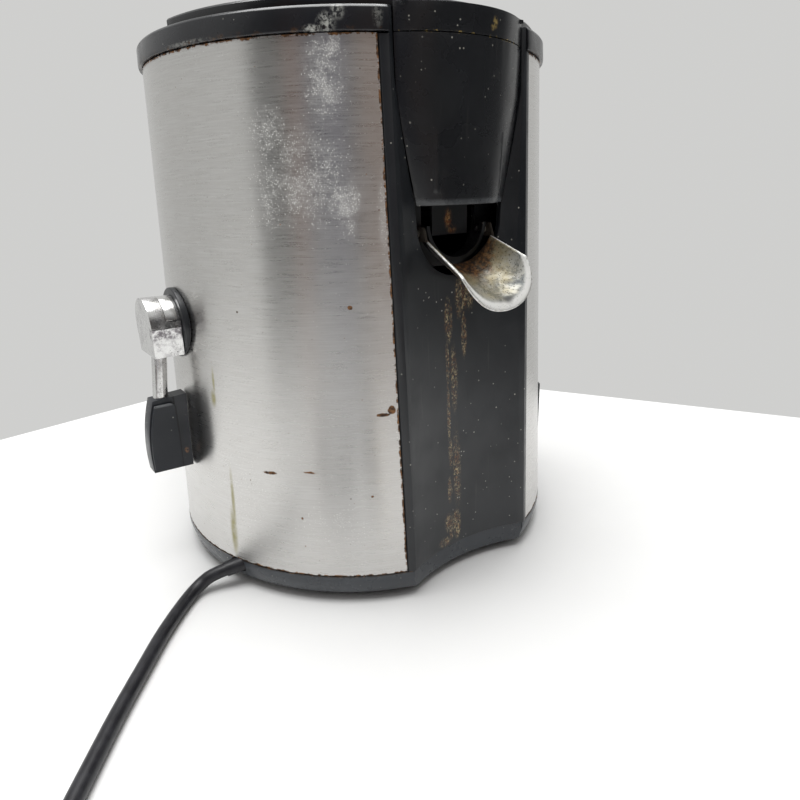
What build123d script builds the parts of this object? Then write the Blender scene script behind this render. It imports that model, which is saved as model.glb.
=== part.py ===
from build123d import *
import os
from math import cos, pi, radians, sin, sqrt, tan

# Centrifugal juicer. Millimetres, +Z up, origin on the table under the body's axis.
# The juice spout faces -Y. Each function returns one sub-part, in place.

# ---- driving dimensions -------------------------------------------------
SEAM_Z = 16.4            # bottom edge of the steel wrap
STEEL_TOP_Z = 261.3      # top edge of the steel wrap
RIM_TOP_Z = 271.1        # top of the black rim ring
RING_BOTTOM_Z = 5.0      # bottom of the base ring
BODY_R_BOTTOM = 115.0    # steel wrap radius at the seam
BODY_R_TOP = 105.2       # steel wrap radius under the rim ring
SHEET = 0.8              # steel sheet thickness
WALL = 2.5               # moulded plastic wall

STEEL_GAP_HALF = 43.0    # half width of the steel's open front
CREASE_HALF = 39.2       # half width between the front panel's creases
SCOOP_DEPTH = 8.0        # how far the front panel hollows in
CHANNEL_HALF_TOP = 36.8  # half width of the panel's channel at its top
CHANNEL_HALF_LOW = 26.6  # and where it meets the round spout opening
CHANNEL_TAPER_Z = 245.0  # the channel narrows below this height
APRON_BOTTOM_Z = 194.6   # lower lip of the chute cover
OPENING_R = 26.0         # round bottom of the spout opening
OPENING_Z = 187.5        # height of its centre
PARTING_Z = 262.0        # line between the chute cover and the lid's front lip
APRON_SIDE_Y = -97.6     # side edges of the chute cover
APRON_FRONT_TOP_Y = -110.0
APRON_FRONT_LOW_Y = -108.0
COVER_GAP = 0.6          # gap round the chute cover

DECK_Z = 148.0           # underside of the inner deck
DECK_R = 100.0           # outer radius of the deck's well
BOWL_R = 90.0            # juice bowl, outer radius
BOWL_Z = 166.0           # underside of the bowl's floor
BOWL_TOP_Z = 270.8
BOWL_FRONT_HALF = 26.0    # half width of the wall strip that holds the outlet
NOZZLE_R = 18.5          # outlet trough of the bowl, outer radius
NOZZLE_Z = 186.8
TROUGH_TOP_Z = 185.4     # level top of the outlet trough

SPOUT_R_IN = 21.6
SPOUT_SHEET = 1.0
SPOUT_SLOPE = 28.0       # degrees below level
SPOUT_AXIS_Y, SPOUT_AXIS_Z = -97.0, 190.0
SPOUT_PIVOT_Y, SPOUT_PIVOT_Z = -91.5, 182.0
SPOUT_PIN_R = 1.9
EAR_R = 3.5              # rounded back of the ears that hang the spout

LEVER_Z = 139.3          # height of the lock levers' axis
HUB_R = 14.5
HUB_FACE_X = 127.0       # outer face of a lever hub
HUB_BACK_X = 112.4
HUB_STEP_X = 119.6       # between the hub's full part and its cut-out part
BOSS_R = 18.0
BOSS_FACE_X = 112.0
COLLAR_R = 8.0
LOCK_SHAFT_R = 4.0
LOCK_HEAD_X = 81.0
LOCK_ARM = 24.0
GRIP_TOP_Z, GRIP_BOTTOM_Z = 101.0, 61.5
GRIP_INNER_X = 112.4

MOTOR_SHAFT_R = 5.0
POST_OFFSET = 58.0
BOLT_OFFSET = 37.0
COUPLING_HEX_R = 14.0

BASKET_R_LOW, BASKET_R_HIGH = 50.0, 82.0
BASKET_Z_LOW, BASKET_Z_HIGH = 190.0, 258.0

CHUTE_R = 40.0
CHUTE_TOP_Z = 350.0
PUSHER_R = 37.2

HOOD_HALF, HOOD_BACK_Y, HOOD_TOP_Z = 44.0, 196.0, 290.0
BIN_HALF_TOP, BIN_HALF_LOW = 45.0, 40.0
BIN_FRONT_Y, BIN_BACK_Y = 120.0, 193.0
BIN_TOP_Z = 267.0
BIN_GRIP_Y = 212.0       # back of the container's finger grip

SWITCH_AZIMUTH = 60.0    # degrees from the spout, towards +X
SWITCH_Z = 62.0
SWITCH_TILT = 9.0
ROCKER_PIN_R = 1.4

CORD_R = 3.5
CORD_EXIT = Vector(-107.4, -40.0, 11.9)
CORD_HEADING = Vector(-0.944, 0.27, -0.19)
COIL_R_IN, COIL_R_OUT, COIL_HEIGHT = 35.0, 49.0, 14.1
COIL_CENTRE = Vector(-210.6, -214.6, 0)


# ---- shared shapes ------------------------------------------------------
def turned(*points):
    """Solid of revolution about Z from (radius, height) points."""
    return revolve(Plane.XZ * make_face(Polyline(*points, close=True)), Axis.Z)


def tube(r_out, r_in, z_low, z_high):
    return turned((r_in, z_low), (r_out, z_low), (r_out, z_high), (r_in, z_high))


def rod(radius, z_low, z_high):
    return Pos(0, 0, (z_low + z_high) / 2) * Cylinder(radius, z_high - z_low)


def block(low, high):
    """Box from its lowest corner to its highest one."""
    size = [b - a for a, b in zip(low, high)]
    centre = [(a + b) / 2 for a, b in zip(low, high)]
    return Pos(*centre) * Box(*size)


def rod_between(start, end, radius, end_radius=None):
    """Round bar or taper from one point to another."""
    start, end = Vector(start), Vector(end)
    plane = Plane(origin=start, z_dir=end - start)
    length = (end - start).length
    if end_radius is None:
        bar = Cylinder(radius, length)
    else:
        bar = Cone(radius, end_radius, length)
    return plane * Pos(0, 0, length / 2) * bar


def mirrored(shape):
    return mirror(shape, Plane.YZ)


def at_corners(shape, offset):
    parts = [Pos(x, y, 0) * shape for x in (-offset, offset) for y in (-offset, offset)]
    return Compound(children=parts)


def body_radius(z):
    """Outer radius of the slightly conical steel wrap."""
    share = (z - SEAM_Z) / (STEEL_TOP_Z - SEAM_Z)
    return BODY_R_BOTTOM + (BODY_R_TOP - BODY_R_BOTTOM) * share


def body_cone(shrink=0.0):
    low, high = 0.0, 300.0
    return turned((0, low), (body_radius(low) - shrink, low),
                  (body_radius(high) - shrink, high), (0, high))


def circle_y(radius, x):
    """Y on the front of a circle about the axis."""
    return -sqrt(radius * radius - x * x)


def scoop_prism(crease_y, shift=0.0):
    """Everything in front of the hollow front face."""
    side = CREASE_HALF
    edges = [ThreePointArc((-side, crease_y + shift), (0, crease_y + SCOOP_DEPTH + shift),
                           (side, crease_y + shift)),
             Polyline((side, crease_y + shift), (side, -160), (-side, -160),
                      (-side, crease_y + shift))]
    return extrude(make_face(edges), 300)


def channel_half(z):
    """Half width of the front panel's tapering channel."""
    if z >= CHANNEL_TAPER_Z:
        return CHANNEL_HALF_TOP
    share = (CHANNEL_TAPER_Z - z) / (CHANNEL_TAPER_Z - APRON_BOTTOM_Z)
    return CHANNEL_HALF_TOP - (CHANNEL_HALF_TOP - CHANNEL_HALF_LOW) * share ** 1.2


def channel_cutter(inset=0.0):
    """Prism along Y through the channel and the round spout opening."""
    heights = [CHANNEL_TAPER_Z, 228.0, 211.0, APRON_BOTTOM_Z]
    right = [(channel_half(z) - inset, z) for z in heights]
    left = [(-x, z) for x, z in reversed(right)]
    low = OPENING_R - inset
    edges = [Polyline((-CHANNEL_HALF_TOP + inset, CHANNEL_TAPER_Z),
                      (-CHANNEL_HALF_TOP + inset, 300),
                      (CHANNEL_HALF_TOP - inset, 300),
                      (CHANNEL_HALF_TOP - inset, CHANNEL_TAPER_Z)),
             Spline(*right),
             Line(right[-1], (low, OPENING_Z)),
             ThreePointArc((low, OPENING_Z), (0, OPENING_Z - low), (-low, OPENING_Z)),
             Line((-low, OPENING_Z), left[0]),
             Spline(*left)]
    return extrude(Plane.XZ.offset(60) * make_face(edges), 100)


def wedge_front(half_angle, reach=140.0):
    """Prism that holds everything within an angle of the spout's direction."""
    a = radians(half_angle)
    points = [(0, 0), (-reach * sin(a), -reach * cos(a)), (-reach, -reach * 1.2),
              (reach, -reach * 1.2), (reach * sin(a), -reach * cos(a))]
    return extrude(make_face(Polyline(*points, close=True)), 400)


# ---- housing ------------------------------------------------------------
def base_ring():
    outer = turned((0, 5.0), (112.6, RING_BOTTOM_Z), (113.6, 6.0), (115.3, 13.0),
                   (115.1, SEAM_Z - 0.5), (0, SEAM_Z - 0.5))
    inner = rod(109.0, 0, 30) - scoop_prism(-107.6, 4.0)
    notch = rod_between(CORD_EXIT - CORD_HEADING * 14, CORD_EXIT + CORD_HEADING * 8, 4.6)
    return outer - scoop_prism(-107.6) - inner - notch


def bottom_cover():
    plate = tube(108.7, 22.0, 7.0, 10.0) - scoop_prism(-107.6, 4.4)
    slot = Pos(64, 0, 8.5) * Box(34, 4, 10)
    slots = [Rot(0, 0, 12 + 24 * i) * slot for i in range(15)]
    hole = rod(2.3, 0, 20)
    plate -= rod_between(CORD_EXIT - CORD_HEADING * 22, CORD_EXIT, 7.8)
    return plate - Compound(children=slots) - at_corners(hole, POST_OFFSET)


def feet():
    foot = turned((0, 0), (9.0, 0), (10.0, 1.0), (9.2, 6.9), (0, 6.9))
    spots = [(-80, -50), (80, -50), (-50, 80), (50, 80)]
    return Compound(children=[Pos(x, y, 0) * foot for x, y in spots])


def steel_wrap():
    low, high = SEAM_Z, STEEL_TOP_Z
    sheet = turned((body_radius(low) - SHEET, low), (body_radius(low), low),
                   (body_radius(high), high), (body_radius(high) - SHEET, high))
    sheet -= block((-STEEL_GAP_HALF, -130, 0), (STEEL_GAP_HALF, 0, 300))
    sheet -= Pos(0, 0, LEVER_Z) * Rot(0, 90, 0) * Cylinder(9.0, 300)
    return sheet - at_switch(block((-10.4, -125, -15.4), (10.4, -90, 15.4)))


def panel_section(z):
    r = body_radius(z)
    crease = circle_y(r + 1.0, CREASE_HALF)
    strip, tuck = STEEL_GAP_HALF - 0.4, STEEL_GAP_HALF + 3.0
    side = CREASE_HALF
    right = [(side, crease), (strip, circle_y(r + 0.7, strip)), (strip, circle_y(r - 1.5, strip)),
             (tuck, circle_y(r - 1.5, tuck)), (tuck, circle_y(r - 4.0, tuck)),
             (side - 0.8, crease + 4.0)]
    left = [(-x, y) for x, y in reversed(right)]
    edges = [Polyline(*right),
             ThreePointArc(right[-1], (0, crease + SCOOP_DEPTH + WALL), left[0]),
             Polyline(*left),
             ThreePointArc(left[-1], (0, crease + SCOOP_DEPTH), right[0])]
    return Pos(0, 0, z) * make_face(edges)


def front_panel():
    panel = loft([panel_section(SEAM_Z - 0.1), panel_section(RIM_TOP_Z)])
    panel -= channel_cutter()
    side = CREASE_HALF - 0.3
    for low, high in (((-60, -140, 261.0), (-side, 0, 300)), ((side, -140, 261.0), (60, 0, 300))):
        panel -= block(low, high)
    return panel


def rim_ring():
    ring = turned((106.8, 261.7), (107.0, 263.0), (106.6, 270.0), (105.6, RIM_TOP_Z),
                  (98.4, RIM_TOP_Z), (98.4, 269.2), (103.6, 267.6), (103.6, 261.7))
    return ring - block((-CREASE_HALF, -130, 250), (CREASE_HALF, 0, 290))


def inner_deck():
    deck = turned((20.5, DECK_Z), (DECK_R, DECK_Z), (DECK_R, 259.0), (103.8, 259.0),
                  (103.8, 261.2), (98.0, 261.2), (98.0, DECK_Z + 3), (23.0, DECK_Z + 3),
                  (23.0, 161.0), (20.5, 161.0))
    deck -= block((-47, -140, 140), (47, -86, 300))
    slot = block((-87.2, -4.2, 140), (-74.8, 28.5, 155))
    hole = rod(2.2, 100, 160)
    return deck - slot - mirrored(slot) - at_corners(hole, POST_OFFSET)


def fasteners():
    """One screw into each end of each post, and the four long motor bolts."""
    low = rod(3.8, 5.2, 7.0) + rod(2.0, 7.0, 24.0)
    high = rod(3.8, DECK_Z + 3, DECK_Z + 5) + rod(2.0, 130.0, DECK_Z + 3)
    bolt = rod(3.6, 119.0, 122.0) + rod(2.0, 24.0, 119.0) + rod(3.8, 20.8, 24.0)
    return Compound(children=[at_corners(low, POST_OFFSET), at_corners(high, POST_OFFSET),
                              at_corners(bolt, BOLT_OFFSET)])


def frame_posts():
    post = tube(6.0, 2.05, 10.0, DECK_Z) + tube(9.5, 5.0, 106.0, 110.0)
    return at_corners(post, POST_OFFSET)


# ---- drive --------------------------------------------------------------
def rubber_mounts():
    mount = turned((6.15, 110.0), (10.0, 110.0), (9.0, 113.0), (10.0, 116.0), (6.15, 116.0))
    return at_corners(mount, POST_OFFSET)


def motor_bracket():
    plate = rod(48, 116, 119)
    for turn in (45, 135):
        plate += Rot(0, 0, turn) * block((-92, -11, 116), (92, 11, 119))
    plate += rod(16, 119, 131)
    plate -= rod(13.05, 119.5, 140) + rod(8, 110, 130)
    return plate - at_corners(rod(6.2, 100, 130), POST_OFFSET) \
        - at_corners(rod(2.3, 100, 130), BOLT_OFFSET)


def lower_bracket():
    plate = rod(18, 24, 27)
    for turn in (45, 135):
        plate += Rot(0, 0, turn) * block((-60, -8, 24), (60, 8, 27))
    plate += rod(13.5, 15, 24)
    plate -= rod(11.05, 10, 23.5) + rod(7, 10, 40)
    return plate - at_corners(rod(2.3, 0, 60), BOLT_OFFSET)


def bearings():
    """Upper and lower bearing of the motor shaft."""
    bore = MOTOR_SHAFT_R + 0.05
    return Compound(children=[tube(13.0, bore, 119.6, 129.6), tube(11.0, bore, 15.4, 23.4)])


def stator_core():
    stack = extrude(Pos(0, 0, 52) * RectangleRounded(92, 92, 12), 42)
    return stack - rod(27.2, 0, 200) - at_corners(rod(2.3, 0, 200), BOLT_OFFSET)


def field_windings():
    return Compound(children=[tube(38.0, 28.5, 94.0, 104.0), tube(38.0, 28.5, 42.0, 52.0)])


def brush_holders():
    holder = block((14.3, -4, 32), (36, 4, 40))
    return Compound(children=[holder, mirrored(holder)])


def motor_shaft():
    return rod(MOTOR_SHAFT_R, 13.5, 172.0)


def rotor_core():
    return tube(26.5, MOTOR_SHAFT_R, 52.0, 94.0)


def commutator():
    return tube(14.0, MOTOR_SHAFT_R, 31.0, 41.0)


def cooling_fan():
    disc = tube(34.0, MOTOR_SHAFT_R, 106.0, 108.0) + tube(9.0, MOTOR_SHAFT_R, 108.0, 113.0)
    blade = block((8.5, -0.8, 107.5), (33.5, 0.8, 114.0))
    for i in range(12):
        disc += Rot(0, 0, 30 * i) * blade
    return disc


def hex_bar(radius, z_low, z_high):
    return extrude(Pos(0, 0, z_low) * RegularPolygon(radius, 6), z_high - z_low)


def drive_coupling():
    body = rod(12.0, 160.5, 170.0) + hex_bar(COUPLING_HEX_R, 170.0, 182.0)
    return body - rod(MOTOR_SHAFT_R, 150.0, 172.0)


def shaft_seal():
    return turned((5.3, 151.0), (20.4, 151.0), (20.4, 157.0), (14.0, 157.0), (9.0, 155.0),
                  (5.3, 157.0))


def interlock_switch():
    body = block((-72, -34, 134), (-52, -27, 147.9))
    return body + block((-70, -27, 141), (-64, -25.5, 144))


def terminal_block():
    body = block((-16, 66, 10.1), (16, 80, 22))
    wells = [rod(2.2, 16, 30).moved(Location((x, 73, 0))) for x in (-10, 0, 10)]
    return body - Compound(children=wells)


# ---- power switch -------------------------------------------------------
def at_switch(shape):
    """Place a shape made for the front of the body at the switch's azimuth and height."""
    return Rot(0, 0, SWITCH_AZIMUTH) * Pos(0, 0, SWITCH_Z) * shape


def switch_housing():
    r = body_radius(SWITCH_Z)
    bezel = block((-13, -r - 2.0, -18), (13, -r + 3, 18))
    bezel = at_switch(bezel) - body_cone(0.0)
    well = at_switch(block((-10, -r - 1.0, -15), (10, -r + 16, 15)))
    cavity = at_switch(block((-7.6, -r - 5, -12.0), (7.6, -r + 13, 12.0)))
    pin_hole = at_switch(Pos(0, -r + 4, 0) * Rot(0, 90, 0) * Cylinder(ROCKER_PIN_R + 0.05, 17.6))
    return bezel + well - cavity - pin_hole


def switch_rocker():
    r = body_radius(SWITCH_Z)
    arc = [ThreePointArc((-r - 0.8, -11.2), (-r + 0.6, 0), (-r - 0.8, 11.2)),
           Polyline((-r - 0.8, 11.2), (-r + 6.5, 10.2), (-r + 7.5, 0), (-r + 6.5, -10.2),
                    (-r - 0.8, -11.2))]
    key = extrude(Plane.YZ.offset(-7.1) * make_face(arc), 14.2)
    pivot = Pos(0, -r + 4, 0)
    pin = pivot * Rot(0, 90, 0) * Cylinder(ROCKER_PIN_R, 17.0)
    return at_switch(pivot * Rot(-SWITCH_TILT, 0, 0) * pivot.inverse() * (key + pin))


# ---- juice bowl and spout -----------------------------------------------
def apron_section(z, wall):
    """Crescent in plan: a bulging outer face over a parallel inner one."""
    half = channel_half(z) - COVER_GAP
    share = max(0.0, (z - APRON_BOTTOM_Z) / (PARTING_Z - APRON_BOTTOM_Z))
    front = APRON_FRONT_LOW_Y + (APRON_FRONT_TOP_Y - APRON_FRONT_LOW_Y) * share
    inner = half - 1.2
    edges = [ThreePointArc((-half, APRON_SIDE_Y), (0, front), (half, APRON_SIDE_Y)),
             Line((half, APRON_SIDE_Y), (inner, APRON_SIDE_Y + 1.6)),
             ThreePointArc((inner, APRON_SIDE_Y + 1.6), (0, front + wall),
                           (-inner, APRON_SIDE_Y + 1.6)),
             Line((-inner, APRON_SIDE_Y + 1.6), (-half, APRON_SIDE_Y))]
    return Pos(0, 0, z) * make_face(edges)


def apron():
    heights = (APRON_BOTTOM_Z, 205.0, 220.0, CHANNEL_TAPER_Z - 4)
    cover = loft([apron_section(z, WALL) for z in heights])
    top = [apron_section(z, WALL) for z in (CHANNEL_TAPER_Z - 4, PARTING_Z - 0.2)]
    cover += loft(top)
    rib = block((18, -112, 200), (20.5, -80, 256))
    ribs = (rib + mirrored(rib)) - rod(BOWL_R, 0, 300)
    behind = [apron_section(z, 16.0) for z in (APRON_BOTTOM_Z, 225.0, PARTING_Z - 0.2)]
    ribs = ribs & (loft(behind) + block((-30, -99, 190), (30, -80, 258)))
    return cover + ribs


def outlet_bore():
    """U-shaped way out through the bowl's wall."""
    bore = NOZZLE_R - 1.8
    way = Pos(0, -90, NOZZLE_Z) * Rot(90, 0, 0) * Cylinder(bore, 20)
    return way + block((-bore, -100, NOZZLE_Z), (bore, -80, 197))


def bowl_wall():
    """Outer wall of the bowl with its flange, outlet and catch tab."""
    inner = BOWL_R - 2.0
    bowl = turned((BOWL_R, BOWL_Z), (BOWL_R, 268.0), (97.6, 268.0), (97.6, BOWL_TOP_Z),
                  (inner, BOWL_TOP_Z), (inner, BOWL_Z))
    bowl -= outlet_bore()
    return bowl + (block((-11, -89.5, 180.5), (11, -87.5, 200)) - rod(inner, 160, 280))


def front_slice():
    return block((-BOWL_FRONT_HALF, -120, 150), (BOWL_FRONT_HALF, 0, 290))


def juice_bowl():
    return bowl_wall() - front_slice()


def bowl_front():
    """Front strip of the bowl's wall, round the outlet."""
    return bowl_wall() & front_slice()


def outlet_trough():
    """Trough on the bowl's wall that feeds the spout and carries its pins."""
    nozzle = Pos(0, -90.5, NOZZLE_Z) * Rot(90, 0, 0) * Cylinder(NOZZLE_R, 9)
    nozzle = nozzle & block((-30, -95, 160), (30, -86, TROUGH_TOP_Z))
    pin_hole = Pos(0, SPOUT_PIVOT_Y, SPOUT_PIVOT_Z) * Rot(0, 90, 0) * Cylinder(SPOUT_PIN_R, 60)
    tab = block((-11.1, -89.6, 180), (11.1, -80, 200))
    return nozzle - outlet_bore() - pin_hole - rod(BOWL_R, 160, 280) - tab


def bowl_floor():
    """Floor of the bowl with its centre collar and the hooked rails the lever locks enter."""
    inner = BOWL_R - 2.0
    floor = turned((26.0, BOWL_Z), (inner, BOWL_Z), (inner, BOWL_Z + 3), (28.5, BOWL_Z + 3),
                   (28.5, 184.0), (26.0, 184.0))
    rail = block((-87.7, -6, 157), (-85.7, 6, BOWL_Z)) + block((-85.7, -6, 157), (-84.1, 6, 159))
    rail += block((-76.3, -6, 157), (-74.3, 6, BOWL_Z)) + block((-77.9, -6, 157), (-76.3, 6, 159))
    return floor + rail + mirrored(rail)


def spout_axis_point(y):
    """Height of the spout's sloping centre line."""
    return SPOUT_AXIS_Z + (y - SPOUT_AXIS_Y) * tan(radians(SPOUT_SLOPE))


def spout():
    start, end = -86.0, -150.0
    a = (0, start, spout_axis_point(start))
    b = (0, end, spout_axis_point(end))
    trough = rod_between(a, b, SPOUT_R_IN + SPOUT_SHEET) - rod_between(a, b, SPOUT_R_IN)
    # side view of what is kept: the rim falls from the root, then the lip sweeps under
    keep = make_face([Polyline((-120.0, 170.6), (-94.0, 180.9), (-94.0, 150), (-127.0, 140),
                               (-129.2, 147.0)),
                      ThreePointArc((-129.2, 147.0), (-127.4, 161.5), (-120.0, 170.6))])
    trough = trough & extrude(Plane.YZ.offset(-40) * keep, 80)
    low, high = SPOUT_PIVOT_Z - EAR_R, SPOUT_PIVOT_Z + EAR_R
    side = make_face(Polyline((-98.5, low), (SPOUT_PIVOT_Y, low), (SPOUT_PIVOT_Y, high),
                              (-97.0, high), close=True))
    side += Pos(SPOUT_PIVOT_Y, SPOUT_PIVOT_Z) * Circle(EAR_R)
    ear = extrude(Plane.YZ.offset(20.2) * side, 1.2)
    trough += ear + mirrored(ear)
    hole = Pos(0, SPOUT_PIVOT_Y, SPOUT_PIVOT_Z) * Rot(0, 90, 0) * Cylinder(SPOUT_PIN_R + 0.06, 60)
    return trough - hole


def spout_pins():
    pin = Pos(19.9, SPOUT_PIVOT_Y, SPOUT_PIVOT_Z) * Rot(0, 90, 0) * Cylinder(SPOUT_PIN_R, 5.8)
    return Compound(children=[pin, mirrored(pin)])


# ---- basket -------------------------------------------------------------
def basket_base():
    base = tube(52.0, 8.0, 187.0, 190.0) + rod(18.5, 172.0, 188.0) + rod(8.5, 182.6, 190.0)
    base += tube(33.0, 31.0, 173.0, 187.5)
    return base - hex_bar(COUPLING_HEX_R + 0.35, 160.0, 182.5)


def basket_rim():
    return turned((BASKET_R_HIGH + 0.1, 255.0), (83.8, 255.0), (83.8, 262.0), (80.8, 262.0),
                  (80.8, 258.3), (BASKET_R_HIGH + 0.1, 258.3))


def basket_mesh():
    t = 0.6
    return turned((BASKET_R_LOW, BASKET_Z_LOW + 0.1), (BASKET_R_LOW + t, BASKET_Z_LOW + 0.1),
                  (BASKET_R_HIGH, BASKET_Z_HIGH - 0.2), (BASKET_R_HIGH - t, BASKET_Z_HIGH - 0.2))


def grater_disc():
    disc = rod(48.5, 190.1, 191.3)
    ridge = block((14, -0.7, 190.8), (46, 0.7, 193.2))
    for i in range(18):
        disc += Rot(0, 0, 20 * i) * ridge
    return disc + turned((0, 190.1), (10, 190.1), (3, 197.0), (0, 197.5))


# ---- lid, feed tube, pusher ---------------------------------------------
def lid():
    shell = turned((84.8, 263.0), (86.8, 263.0), (86.8, 271.4), (98.5, 271.4), (98.5, 272.9),
                   (86.0, 277.0), (60.0, 285.0), (CHUTE_R + 0.1, 288.4), (CHUTE_R + 0.1, 286.2),
                   (59.4, 282.8), (84.8, 275.0))
    flange = turned((84.0, 275.0), (88.0, 271.4), (101.5, 271.4), (101.5, 274.8),
                    (100.7, 275.7), (84.0, 278.4))
    shell += flange & wedge_front(81.0)
    lip = loft([apron_section(PARTING_Z + 0.3, WALL), apron_section(272.8, WALL)])
    lip += loft([apron_section(271.4, 30.0), apron_section(272.8, 30.0)]) - rod(99.0, 0, 300)
    lip += (block((-34, -101.0, 271.4), (34, -90.0, 272.8)) - rod(90, 0, 300))
    hood = block((-HOOD_HALF, 66, 271.5), (HOOD_HALF, HOOD_BACK_Y, HOOD_TOP_Z))
    hood = fillet(hood.edges().filter_by(Axis.Z).group_by(Axis.Y)[-1], 14)
    inside = block((-HOOD_HALF + 2, 40, 260), (HOOD_HALF - 2, HOOD_BACK_Y - 2, HOOD_TOP_Z - 2))
    inside = fillet(inside.edges().filter_by(Axis.Z).group_by(Axis.Y)[-1], 12)
    outside_dome = turned((0, 255), (84.9, 255), (84.9, 275.0), (59.4, 282.8), (0, 300))
    hood = hood - inside - outside_dome
    floor = block((-HOOD_HALF, 84, 271.5), (HOOD_HALF, 119, 273.5)) - rod(86.0, 0, 300)
    exit_cut = inside - turned((0, 250), (74, 250), (74, 300), (0, 300))
    exit_cut = exit_cut & block((-42, 0, 250), (42, 120, 289))
    return shell - exit_cut + hood + floor + lip


def lid_gasket():
    return tube(87.7, 86.8, 264.5, 267.5) - block((-41, 0, 260), (41, 120, 270))


def feed_tube():
    tube_part = tube(CHUTE_R, CHUTE_R - 2.2, 206.0, CHUTE_TOP_Z)
    collar = turned((CHUTE_R - 1, 288.6), (45.0, 288.6), (45.0, 291.0), (CHUTE_R - 1, 292.5))
    tray = turned((CHUTE_R - 1, 340.0), (47.0, 348.0), (47.0, CHUTE_TOP_Z),
                  (CHUTE_R - 1, CHUTE_TOP_Z))
    return tube_part + collar + (tray - rod(CHUTE_R - 2.2, 300, 400))


def pusher():
    return turned((0, 212.0), (PUSHER_R - 1, 212.0), (PUSHER_R, 213.5), (PUSHER_R, 350.4),
                  (PUSHER_R - WALL, 350.4), (PUSHER_R - WALL, 215.0), (0, 215.0))


def pusher_cap():
    return turned((0, 350.4), (46.5, 350.4), (47.0, 352.0), (45.5, 355.5), (24.0, 356.5),
                  (20.0, 361.0), (0, 363.0)) \
        + tube(PUSHER_R - WALL - 0.05, PUSHER_R - WALL - 2, 344.0, 350.6)


# ---- pulp container -----------------------------------------------------
def bin_section(z, inset):
    half = BIN_HALF_LOW + (BIN_HALF_TOP - BIN_HALF_LOW) * z / BIN_TOP_Z - inset
    back = BIN_BACK_Y - 8 + 8 * z / BIN_TOP_Z - inset
    depth = back - BIN_FRONT_Y - inset
    middle = (back + BIN_FRONT_Y + inset) / 2
    return Pos(0, middle, z) * RectangleRounded(2 * half, depth, 18 - inset)


def pulp_container():
    outside = loft([bin_section(0, 0), bin_section(BIN_TOP_Z, 0)])
    inside = loft([bin_section(2.5, 2.2), bin_section(BIN_TOP_Z + 1, 2.2)])
    rim = extrude(bin_section(BIN_TOP_Z - 5, -2.0), 5) - extrude(bin_section(BIN_TOP_Z - 6, 1.0), 8)
    grip = block((-24, BIN_BACK_Y - 3, 237), (24, BIN_GRIP_Y, 240)) \
        + block((-24, BIN_GRIP_Y - 3, 208), (24, BIN_GRIP_Y, 240))
    grip = fillet(grip.edges().filter_by(Axis.Z).group_by(Axis.Y)[-1], 2.0) - outside
    return outside + rim + grip - inside


# ---- lock levers (the left one; the right one is its mirror image) -------
def turned_x(shape, x_low, x_high):
    """Extrude a face drawn in the YZ plane from x_low to x_high."""
    return extrude(Plane.YZ.offset(x_low) * shape, x_high - x_low)


def along_x(radius, x_low, x_high):
    bar = Rot(0, 90, 0) * Cylinder(radius, x_high - x_low)
    return Pos((x_low + x_high) / 2, 0, LEVER_Z) * bar


def hub_outline():
    r, z = HUB_R, LEVER_Z
    return make_face([ThreePointArc((-r, z), (0, z + r), (r, z)),
                      Polyline((r, z), (r - 1.5, z - r), (1.5 - r, z - r), (-r, z))])


def sector(radius, start, end):
    """Pie slice in the YZ plane about the lever's axis; angles rise from -Y towards +Z."""
    steps = 8
    points = [(0, LEVER_Z)]
    for i in range(steps + 1):
        a = radians(start + (end - start) * i / steps)
        points.append((-radius * cos(a), LEVER_Z + radius * sin(a)))
    return make_face(Polyline(*points, close=True))


def pair(shape):
    return Compound(children=[shape, mirrored(shape)])


def lever_bosses():
    disc = along_x(BOSS_R, -BOSS_FACE_X, -100.0) - body_cone()
    return pair(disc - along_x(COLLAR_R, -130.0, -90.0))


def lever_collar():
    core = along_x(COLLAR_R, -HUB_STEP_X + 0.2, -104.0)
    lug = turned_x(sector(30.0, 15.0, 100.0), -HUB_STEP_X + 0.2, -HUB_BACK_X + 0.3)
    lug = lug & along_x(HUB_R - 0.1, -HUB_STEP_X, -HUB_BACK_X + 1)
    return core + lug - along_x(LOCK_SHAFT_R + 0.05, -130.0, -90.0)


ARM_TOP = Vector(-120.9, 0, 131.5)
ARM_LOW = Vector(-125.6, 0, 92.0)
ARM_R = 3.8


def lever_hub():
    hub = turned_x(hub_outline(), -HUB_FACE_X, -HUB_STEP_X - 0.1)
    hub += turned_x(hub_outline(), -HUB_STEP_X - 0.1, -HUB_BACK_X)
    cut = turned_x(sector(30.0, 13.0, 194.0), -HUB_STEP_X, -HUB_BACK_X + 1)
    hub -= cut
    hub -= along_x(COLLAR_R + 0.3, -HUB_STEP_X, -HUB_BACK_X + 1)
    hub -= along_x(LOCK_SHAFT_R, -125.5, -100.0)
    return hub - lever_arm()


def lever_arm():
    return rod_between(ARM_TOP, ARM_LOW, ARM_R)


def lever_grip():
    face = make_face([ThreePointArc((-130.0, GRIP_TOP_Z), (-134.4, 82.0), (-134.6, GRIP_BOTTOM_Z)),
                      Polyline((-134.6, GRIP_BOTTOM_Z), (-GRIP_INNER_X - 1.5, GRIP_BOTTOM_Z - 0.6),
                               (-GRIP_INNER_X, GRIP_TOP_Z + 1), (-130.0, GRIP_TOP_Z))])
    body = extrude(Plane.XZ.offset(-4.2) * face, 9.4)
    raised = make_face([ThreePointArc((-129.8, 98.5), (-133.6, 82.0), (-134.2, 63.0)),
                        Polyline((-134.2, 63.0), (-119.5, 62.6), (-118.6, 94.0)),
                        ThreePointArc((-118.6, 94.0), (-119.7, 97.4), (-123.2, 98.6)),
                        Line((-123.2, 98.6), (-129.8, 98.5))])
    body += extrude(Plane.XZ.offset(-5.0) * raised, 12.0)
    return body - lever_arm()


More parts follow.
